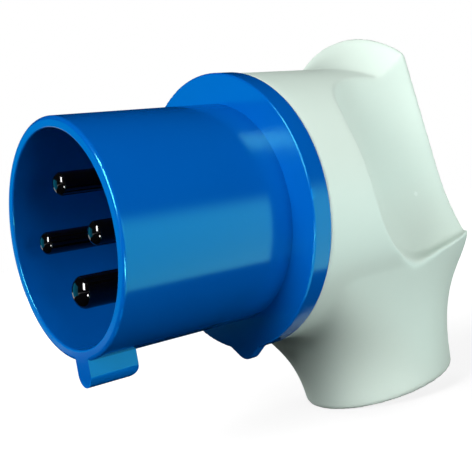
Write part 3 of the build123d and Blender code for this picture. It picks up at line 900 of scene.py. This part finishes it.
@dataclass
class Fasteners:
    """Screws with threads and cross recesses, and the knurled brass inserts."""

    contacts: Contacts
    edge: float = 0.25
    pitch_r: float = 17.8
    count: int = 4
    first: float = 45.0
    head_r: float = 3.1
    head_front: float = 39.4
    head_back: float = 42.0
    shank_r: float = 1.9
    tip: float = 70.5
    thread_length: float = 14.0
    thread_pitch: float = 0.7
    thread_depth: float = 0.28
    thread_core_share: float = 0.7
    slot_width: float = 0.8
    slot_depth: float = 1.2
    slot_reach_share: float = 0.65
    slot_overshoot: float = 1.0
    insert_r: float = 2.8
    insert_bore_r: float = 2.0
    insert_front: float = 62.5
    knurl_margin: float = 0.8
    knurl_skin: float = 0.1
    knurl_depth: float = 0.22
    knurl_pitch: float = 6.0
    knurl_count: int = 20
    leaf_width: float = 3.0
    leaf_gap: float = 0.1
    terminal_lift: float = 0.8
    terminal_head_r: float = 2.6
    terminal_head: float = 2.2
    terminal_neck: float = 0.4
    plate_front: float = 51.5
    plate_back: float = 62.5
    plate_shank_r: float = 1.6
    plate_head_r: float = 3.0
    plate_head: float = 2.2
    plate_neck: float = 2.6

    def cross_tool(self, head_r: float, head_top: float) -> Mesh:
        """Makes the tool that leaves a cross recess in a screw's head.

        Args:
            head_r: Radius of the head.
            head_top: Face of the head.

        Returns:
            The mesh.
        """
        far, near = head_r * self.slot_reach_share, self.slot_width / 2
        corners = []
        for quarter in range(4):
            c, s = round(cos(quarter * pi / 2)), round(sin(quarter * pi / 2))
            corners += [(y * c - z * s, y * s + z * c) for y, z in ((far, -near), (far, near), (near, near))]
        return prism(corners, head_top - self.slot_depth, head_top + self.slot_overshoot)

    def screw(self, name: str, shank: Span, head: Span, head_height: float, thread_end: float) -> Object:
        """Turns a screw whose head faces +X.

        Args:
            name: Name of the screw.
            shank: Low end and radius of its shank.
            head: Low end and radius of its head.
            head_height: Height of its head.
            thread_end: Where the thread ends under the head.

        Returns:
            The screw, on the X axis.
        """
        (low, shank_r), (under, head_r), edge = shank, head, self.edge
        top = under + head_height
        outline = [
            (low, 0.0), (low, shank_r - edge), (low + edge, shank_r), (under, shank_r), (under, head_r),
            (top - edge, head_r), (top, head_r - edge), (top, 0.0),
        ]
        thread = Cut(low, thread_end, shank_r * self.thread_core_share, self.thread_depth, self.thread_pitch)
        piece = TurnedPiece(name, ZINC_STEEL, outline, thread, steps=32).turn()
        carve(piece, self.cross_tool(head_r, top))
        smooth(piece)
        return piece

    @staticmethod
    def spread(piece: Object, finish: Finish, count: int, first: float) -> None:
        """Repeats a piece about the barrel axis, a quarter turn apart."""
        WORKSHOP.run(
            piece, Machine.DIVIDING_HEAD, finish, count=count, first=radians(first), step=radians(90.0),
        )

    def build_assembly_screws(self) -> None:
        """Turns the long screws that pull the housing against the flange."""
        under = self.tip - self.head_back
        piece = self.screw(
            "threaded_assembly_screws", (0.0, self.shank_r), (under, self.head_r),
            self.head_back - self.head_front, self.thread_length,
        )
        # The heads face the mouth, which is -X.
        place = Matrix.Translation((self.tip * MILLI, self.pitch_r * MILLI, 0))
        piece.data.transform(place @ Matrix.Rotation(pi, 4, "Z"))
        self.spread(piece, ZINC_STEEL, self.count, self.first)
        finish_piece(piece, ZINC_STEEL, "steel_screws", "assembly_screws")

    def build_inserts(self) -> None:
        """Turns the knurled brass inserts of the housing."""
        front, back, edge = self.insert_front, self.tip, self.edge
        outline = [
            (front, self.insert_bore_r), (front, self.insert_r - edge), (front + edge, self.insert_r),
            (back - edge, self.insert_r), (back, self.insert_r - edge), (back, self.insert_bore_r),
            (front, self.insert_bore_r),
        ]
        knurl = Cut(
            front + self.knurl_margin, back - self.knurl_margin, self.insert_r - self.knurl_skin,
            self.knurl_depth, self.knurl_pitch, self.knurl_count,
        )
        piece = TurnedPiece("knurled_housing_inserts", BRASS, outline, knurl, steps=120).turn()
        smooth(piece)
        piece.data.transform(Matrix.Translation((0, self.pitch_r * MILLI, 0)))
        self.spread(piece, BRASS, self.count, self.first)
        finish_piece(piece, BRASS, "brass_parts", "housing_inserts")

    def build_terminal_screws(self) -> None:
        """Turns the clamping screws of the terminals, which press on the leaves in the wire bores."""
        contacts = self.contacts
        places = {
            "terminal_screws": (contacts.phase_bore_r, 3, Clock.RIGHT),
            "earth_terminal_screw": (contacts.earth_bore_r, 1, Clock.BOTTOM),
        }
        for node, (bore_r, count, clock) in places.items():
            leaf = sqrt((bore_r - self.leaf_gap) ** 2 - (self.leaf_width / 2) ** 2)
            under = contacts.pitch_r + bore_r + contacts.wall + self.terminal_lift
            piece = self.screw(
                f"threaded_{node}", (contacts.pitch_r + leaf, self.shank_r), (under, self.terminal_head_r),
                self.terminal_head, under - self.terminal_neck,
            )
            # The screw turns from +X to +Y, outwards from the barrel axis.
            place = Matrix.Translation((contacts.screw_x * MILLI, 0, 0))
            piece.data.transform(place @ Matrix.Rotation(pi / 2, 4, "Z"))
            self.spread(piece, ZINC_STEEL, count, clock.value)
            finish_piece(piece, ZINC_STEEL, "steel_screws", node)

    def build_backplate_screw(self) -> None:
        """Turns the central screw of the back plate."""
        piece = self.screw(
            "threaded_backplate_screw", (self.plate_front, self.plate_shank_r),
            (self.plate_back, self.plate_head_r), self.plate_head, self.plate_back - self.plate_neck,
        )
        finish_piece(piece, ZINC_STEEL, "steel_screws", "backplate_screw")

    def build(self) -> None:
        """Makes every fastener."""
        self.build_assembly_screws()
        self.build_inserts()
        self.build_terminal_screws()
        self.build_backplate_screw()


@dataclass
class ElbowHousing:
    """The pale elbow moulding, with every edge softened as it leaves a mould."""

    node: str = "rear_housing"
    name: str = "elbow_housing_skin"
    voxel: float = 0.55 * MILLI
    smoothing: int = 4
    keep_ratio: float = 0.75
    foot: Place = (77.0, 24.8, -18.6)
    foot_reach: float = 8.5
    foot_skin: float = 22.3
    foot_rounds: int = 90

    def joined_copy(self) -> Object:
        """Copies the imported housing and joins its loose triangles.

        Returns:
            The copy, as a new object.
        """
        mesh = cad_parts[self.node].data.copy()
        mesh.name = self.name
        shell = bmesh.new()
        shell.from_mesh(mesh)
        bmesh.ops.remove_doubles(shell, verts=shell.verts, dist=JOIN_DISTANCE)
        bmesh.ops.dissolve_degenerate(shell, edges=shell.edges, dist=SLIVER)
        shell.to_mesh(mesh)
        shell.free()
        mesh.materials.clear()
        return add_object(self.name, mesh)

    def soften_feet(self, skin: Object) -> None:
        """Rounds the corners where the two finger troughs run out on the ledge.

        Args:
            skin: The evenly meshed skin.
        """
        group = skin.vertex_groups.new(name="trough_feet")
        x, y, z = (value * MILLI for value in self.foot)
        for vertex in skin.data.vertices:
            foot = Vector((x, copysign(y, vertex.co.y), z))
            weight = 1 - (vertex.co - foot).length / (self.foot_reach * MILLI)
            if weight > 0 and abs(vertex.co.y) > self.foot_skin * MILLI:
                group.add([vertex.index], weight, "REPLACE")
        relax = skin.modifiers.new("soft_feet", "SMOOTH")
        relax.vertex_group = group.name
        relax.iterations = self.foot_rounds
        settle(skin)

    def build(self) -> None:
        """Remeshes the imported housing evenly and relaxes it, so that no edge is knife sharp."""
        skin = self.joined_copy()
        remesh = skin.modifiers.new("even_faces", "REMESH")
        remesh.mode = "VOXEL"
        remesh.voxel_size = self.voxel
        relax = skin.modifiers.new("soft_edges", "SMOOTH")
        relax.iterations = self.smoothing
        settle(skin)
        self.soften_feet(skin)
        thin = skin.modifiers.new("fewer_faces", "DECIMATE")
        thin.ratio = self.keep_ratio
        settle(skin)
        skin.data.shade_smooth()
        finish_piece(skin, PALE_SHELL, "pale_shell", self.node)


@dataclass
class Carried:
    """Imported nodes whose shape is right, with their finishes."""

    finishes: dict[str, Finish] = field(default_factory=lambda: {
        "front_sleeve": BLUE_SHELL,
        # The carrier wears dark blue painted shade.
        "contact_carrier": BLUE_CARRIER_PAINTED_SHADE,
        "carrier_backplate": DARK_PLATE,
        **{f"clamp_leaf_{contact}": ZINC_STEEL for contact in ("l1", "l2", "l3", "earth")},
        "flange_seal": SEAL_RUBBER,
        "gland_grommet": SEAL_RUBBER,
        "gland_washer": DARK_PLATE,
        "gland_claw": DARK_PLATE,
        "gland_nut": PALE_SHELL,
    })

    def dress(self) -> None:
        """Gives each carried node its finish."""
        for node, finish in self.finishes.items():
            WARDROBE.dress(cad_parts[node], finish)
            LOG.info("%s wears %s", node, finish.name)


@dataclass(frozen=True)
class Lamp:
    """A soft rectangular light; its place and its target are measured from the middle of the object."""

    name: str
    place: Place
    size: Span
    power: float
    target: Place = (0.0, 0.0, 0.0)
    glossy: bool = True
    diffuse: bool = True

    def hang(self, middle: Vector) -> None:
        """Hangs the light.

        Args:
            middle: Middle of the object.
        """
        data = bpy.data.lights.new(self.name, "AREA")
        data.shape = "RECTANGLE"
        data.size, data.size_y = self.size
        data.energy = self.power
        light = bpy.data.objects.new(self.name, data)
        light.location = middle + Vector(self.place)
        sight = Vector(self.target) - Vector(self.place)
        light.rotation_euler = sight.to_track_quat("-Z", "Y").to_euler()
        light.visible_camera = False
        light.visible_glossy = self.glossy
        light.visible_diffuse = self.diffuse
        bpy.context.scene.collection.objects.link(light)


# The fills light the object and aren't mirrored, and the glint panel and the spark are only mirrored.
LAMPS = (
    Lamp("front_softbox", (-0.87, -0.13, 0.42), (0.5, 0.5), 11.6, glossy=False),
    Lamp("side_fill", (0.0, -0.54, 0.0), (0.3, 0.12), 1.85, glossy=False),
    Lamp("back_fill", (0.95, 0.0, 0.2), (0.6, 0.6), 4.5, glossy=False),
    Lamp("far_fill", (0.1, 0.95, 0.25), (0.6, 0.6), 5.0, glossy=False),
    Lamp("glint_panel", (-0.75, -0.3, 0.5), (0.28, 0.7), 21.0, diffuse=False),
    Lamp("spark", (-0.098, -0.066, -0.039), (0.02, 0.02), 0.05, target=(-0.045, 0.0, 0.005), diffuse=False),
)


@dataclass
class Studio:
    """White floor and surroundings, boards that the gloss mirrors, soft lights and the camera."""

    middle: Place = (0.05, 0.0, -0.005)
    ambient: float = 0.12
    floor_half: float = 6.0
    floor_gap: float = 0.0004
    floor_colour: Colour = (0.28, 0.28, 0.28, 1.0)
    floor_glow: Span = (0.84, 1.0)
    floor_glow_reach: Span = (0.12, 0.55)
    under_x: Span = (-0.25, 0.35)
    front_x: Span = (-1.4, -0.02)
    front_low_y: float = -1.4
    dark_high_y: float = 0.25
    canopy_radius: float = 3.0
    canopy_rows: int = 24
    canopy_edge: float = -0.01
    band_edge: float = -0.047
    band_glow: float = 2.6
    band_colour: Colour = (0.55, 1.0, 1.0, 1.0)
    sweep_x: Span = (-0.02, 1.3)
    sweep_run: float = 0.5
    sweep_radius: float = 0.3
    sweep_fade: float = 0.28
    sweep_rows: int = 24
    far_middle: Span = (-0.18, 0.24)
    far_across: Span = (0.096, 0.072)
    far_high: float = 0.12
    far_glow: float = 1.05
    far_colour: Colour = (0.0, 0.58, 1.0, 1.0)
    camera_place: Place = (-0.075871, -0.160059, -0.003311)
    camera_right: Place = (0.78520, -0.59323, -0.17760)
    camera_up: Place = (0.14949, -0.09673, 0.98402)
    camera_lens: float = 64.85
    camera_sensor: float = 36.0
    camera_reach: Span = (0.005, 30.0)

    @staticmethod
    def seen_factor(wiring: Wiring) -> NodeSocket:
        """Adds nodes that give 1 where a camera, glossy or transmission ray looks.

        Args:
            wiring: Wiring of the tree that gets the nodes.

        Returns:
            The socket with the factor.
        """
        path = wiring.node("ShaderNodeLightPath").outputs
        direct = wiring.math("MAXIMUM", path["Is Camera Ray"], path["Is Glossy Ray"])
        return wiring.math("MAXIMUM", direct, path["Is Transmission Ray"])

    def build_world(self) -> None:
        """Makes surroundings that look white and light the object softly."""
        world = bpy.data.worlds.new("white_surroundings")
        world.use_nodes = True
        wiring = Wiring(world.node_tree)
        strength = wiring.node("ShaderNodeMapRange", {
            "Value": self.seen_factor(wiring), "To Min": self.ambient, "To Max": 1.0,
        })
        background = world.node_tree.nodes["Background"]
        wiring.feed(background, {"Color": WHITE, "Strength": strength.outputs["Result"]})
        bpy.context.scene.world = world

    def level_under(self, gaps: float) -> float:
        """Height of a sheet under the outlet, by its share of the floor's gap."""
        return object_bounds()[0][2] - self.floor_gap * gaps

    @staticmethod
    def flat_mesh(name: str, corners: list[Place]) -> Mesh:
        """Makes a flat mesh of one face.

        Args:
            name: Name of the mesh.
            corners: Its corners, in order.

        Returns:
            The mesh.
        """
        mesh = bpy.data.meshes.new(name)
        mesh.from_pydata(corners, [], [tuple(range(len(corners)))])
        return mesh

    @staticmethod
    def rectangle(x: Span, y: Span, level: float) -> list[Place]:
        """Corners of a level rectangle that faces up.

        Args:
            x: Its low and high X.
            y: Its low and high Y.
            level: Its height.

        Returns:
            The four corners, in order.
        """
        return [(x[0], y[0], level), (x[1], y[0], level), (x[1], y[1], level), (x[0], y[1], level)]

    def build_floor(self) -> None:
        """Lays a white floor just under the outlet; it keeps the object's shadow."""
        reach = (-self.floor_half, self.floor_half)
        mesh = self.flat_mesh("floor", self.rectangle(reach, reach, self.level_under(1)))
        material, wiring, shader = start_material("white_floor")
        away = wiring.node("ShaderNodeVectorMath", {0: wiring.object_place()}, operation="LENGTH")
        fade = wiring.smooth_step(away.outputs["Value"], *self.floor_glow_reach, *self.floor_glow)
        wiring.feed(shader, {
            "Base Color": self.floor_colour, "Roughness": 0.9, "Emission Color": WHITE,
            "Emission Strength": wiring.math("MULTIPLY", fade, self.seen_factor(wiring)),
        })
        mesh.materials.append(material)
        add_object("floor", mesh)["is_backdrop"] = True

    @staticmethod
    def add_board(mesh: Mesh, glow: float, colour: Colour = WHITE,
                  diffuse: bool = False) -> tuple[Wiring, Node]:
        """Sets up a board of the studio that neither the camera nor the shadows show.

        Args:
            mesh: Its mesh, in the object frame, with the name of the board.
            glow: How bright it is; 1 is white.
            colour: Colour of its glow.
            diffuse: Whether matt surfaces receive its light or its shade, and not the gloss alone.

        Returns:
            The wiring of the board's material and its Principled shader node.
        """
        board = add_object(mesh.name, mesh)
        board.visible_camera = False
        board.visible_shadow = False
        board.visible_diffuse = diffuse
        material, wiring, shader = start_material(mesh.name)
        wiring.feed(shader, {
            "Base Color": BLACK, "Specular IOR Level": 0.0,
            "Emission Color": colour, "Emission Strength": glow,
        })
        mesh.materials.append(material)
        board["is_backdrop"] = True
        return wiring, shader

    def build_dark_boards(self) -> None:
        """Lays dark boards under and in front of the object, and hangs the dark walls and roof."""
        level, far = self.level_under(0.5), self.dark_high_y
        under = self.rectangle(self.under_x, (self.band_edge, far), level)
        front = self.rectangle(self.front_x, (self.front_low_y, far), level)
        self.add_board(self.flat_mesh("dark_under_board", under), 0.0, diffuse=True)
        self.add_board(self.flat_mesh("dark_front_board", front), 0.0)
        mesh = bpy.data.meshes.new("dark_canopy")
        shell = bmesh.new()
        rows = self.canopy_rows
        bmesh.ops.create_uvsphere(shell, u_segments=2 * rows, v_segments=rows, radius=self.canopy_radius)
        low = [vertex for vertex in shell.verts if vertex.co.z < self.canopy_edge]
        bmesh.ops.delete(shell, geom=low, context="VERTS")
        shell.to_mesh(mesh)
        shell.free()
        self.add_board(mesh, 0.0)

    def build_far_board(self) -> None:
        """Stands a bright board across from the camera; the flange and the mouth's rim mirror it."""
        (x, y), (run_x, run_y), low = self.far_middle, self.far_across, self.level_under(0)
        near, far = (x - run_x, y - run_y), (x + run_x, y + run_y)
        corners = [(*near, low), (*far, low), (*far, self.far_high), (*near, self.far_high)]
        self.add_board(self.flat_mesh("far_board", corners), self.far_glow, self.far_colour)

    def build_swept_board(self) -> None:
        """Stands a bright swept board beside the object; it makes the pale band along the barrel."""
        level, rows, radius = self.level_under(0.25), self.sweep_rows, self.sweep_radius
        points = []
        for row in range(rows + 1):
            run = min(1.0, 2 * row / rows)
            turn = radians(90.0) * max(0.0, 2 * row / rows - 1)
            y = self.band_edge - self.sweep_run * run - radius * sin(turn)
            points += [(x, y, level + radius * (1 - cos(turn))) for x in self.sweep_x]
        faces = [(2 * row, 2 * row + 1, 2 * row + 3, 2 * row + 2) for row in range(rows)]
        mesh = bpy.data.meshes.new("swept_board")
        mesh.from_pydata(points, [], faces)
        wiring, shader = self.add_board(mesh, self.band_glow, self.band_colour)
        height = wiring.node("ShaderNodeSeparateXYZ", {0: wiring.object_place()}).outputs["Z"]
        fade = wiring.smooth_step(height, level, level + self.sweep_fade, self.band_glow, 0.0)
        wiring.feed(shader, {"Emission Strength": fade})

    def build_lights(self) -> None:
        """Hangs the front, side, back and far fills, the glint panel and the spark."""
        for lamp in LAMPS:
            lamp.hang(Vector(self.middle))

    def build_camera(self) -> None:
        """Places the camera where the photograph was taken from."""
        data = bpy.data.cameras.new("photo_camera")
        data.lens = self.camera_lens
        data.sensor_width = self.camera_sensor
        data.clip_start, data.clip_end = self.camera_reach
        camera = bpy.data.objects.new("photo_camera", data)
        right = Vector(self.camera_right).normalized()
        up = Vector(self.camera_up).normalized()
        turn = Matrix((right, up, right.cross(up))).transposed().to_4x4()
        camera.matrix_world = Matrix.Translation(self.camera_place) @ turn
        bpy.context.scene.collection.objects.link(camera)
        bpy.context.scene.camera = camera

    def build(self) -> None:
        """Builds the whole studio."""
        self.build_world()
        self.build_floor()
        self.build_dark_boards()
        self.build_far_board()
        self.build_swept_board()
        self.build_lights()
        self.build_camera()
        bpy.context.scene.view_settings.view_transform = "Standard"


def main() -> None:
    """Builds the sub-assemblies in order, then the studio."""
    logging.basicConfig(level=logging.INFO, format="%(name)s: %(message)s")
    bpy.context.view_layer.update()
    Carried().dress()
    ElbowHousing().build()
    contacts = Contacts()
    contacts.build()
    Fasteners(contacts).build()
    Studio().build()


if __name__ == "__main__":
    main()
